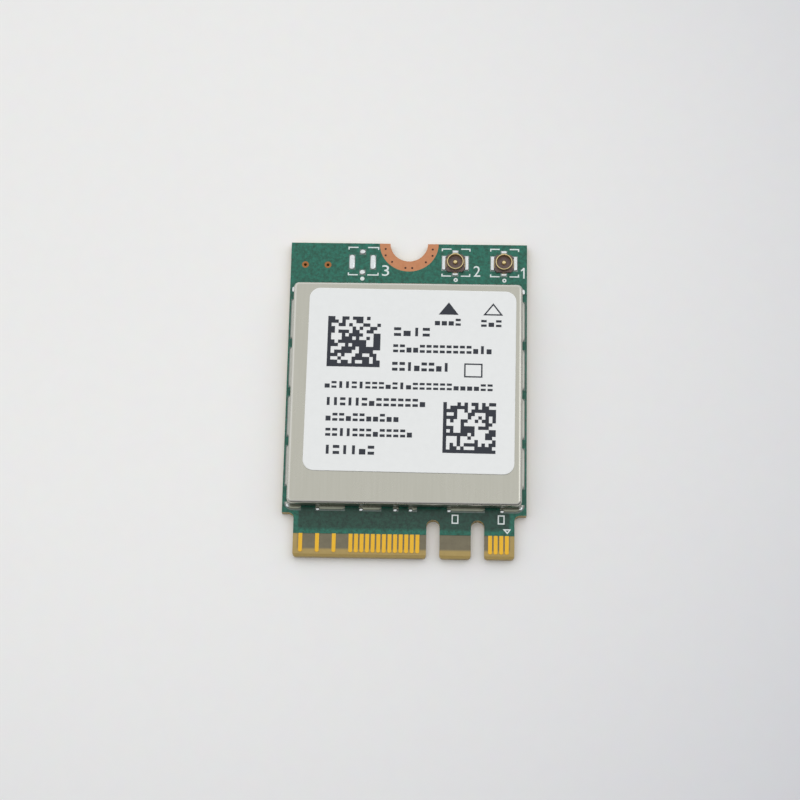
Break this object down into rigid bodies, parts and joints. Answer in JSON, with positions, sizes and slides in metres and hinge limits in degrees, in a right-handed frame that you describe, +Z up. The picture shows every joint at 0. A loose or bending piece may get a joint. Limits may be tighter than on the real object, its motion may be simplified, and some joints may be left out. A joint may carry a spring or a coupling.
{
  "type": "laptop wireless card",
  "caption": "Small keyed plug-in radio card with gold edge contacts, a soldered shield can under a label, a half-round screw notch and coaxial antenna jacks.",
  "frame": {"origin": "under the middle of the board's outline, on the underside", "axes": "+X towards the antenna jack nearest the edge, +Y towards the screw notch, +Z up out of the component side"},
  "size_m": [0.022, 0.03, 0.0022],
  "materials": {
    "bare_laminate": "woven glass and resin with cut edges",
    "solder_mask": "green lacquer, satin gloss",
    "gold_plate": "thin gold over nickel",
    "bare_copper": "copper with a thin organic coat",
    "tin_solder": "bright tin",
    "can_sheet": "rolled nickel silver, satin",
    "label_film": "white printed film",
    "jack_plastic": "dark moulded plastic",
    "chip_mould": "black moulding compound",
    "chip_ceramic": "fired ceramic",
    "resistor_film": "black glass coat",
    "ferrite": "pressed ferrite",
    "tinned_terminals": "matt tin",
    "lid_metal": "plated lid"
  },
  "bodies": {
    "root": {"circuit_board": "bare_laminate", "solder_mask_top": "solder_mask", "solder_mask_bottom": "solder_mask", "edge_contacts_top": "gold_plate", "edge_contacts_bottom": "gold_plate", "ground_ring_top": "bare_copper", "ground_ring_bottom": "bare_copper", "test_points": "bare_copper", "shield_can": "can_sheet", "shield_solder": "tin_solder", "shield_lands": "tin_solder", "label": "label_film", "jack_1_shell": "gold_plate", "jack_1_insulator": "jack_plastic", "jack_1_contact": "gold_plate", "jack_1_solder": "tin_solder", "jack_1_lands": "tin_solder", "jack_2_shell": "gold_plate", "jack_2_insulator": "jack_plastic", "jack_2_contact": "gold_plate", "jack_2_solder": "tin_solder", "jack_2_lands": "tin_solder", "spare_jack_lands": "tin_solder", "spare_jack_solder": "tin_solder", "radio_chip": "chip_mould", "radio_chip_leads": "tinned_terminals", "front_end_chips": "chip_mould", "front_end_leads": "tinned_terminals", "antenna_filters": "chip_ceramic", "antenna_filter_terminals": "tinned_terminals", "memory_chip": "chip_mould", "memory_chip_leads": "tinned_terminals", "crystal_base": "chip_ceramic", "crystal_lid": "lid_metal", "crystal_pads": "tinned_terminals", "power_inductor": "ferrite", "inductor_terminals": "tinned_terminals", "capacitors": "chip_ceramic", "capacitor_terminals": "tinned_terminals", "resistors": "resistor_film", "resistor_terminals": "tinned_terminals"}
  },
  "joints": []
}
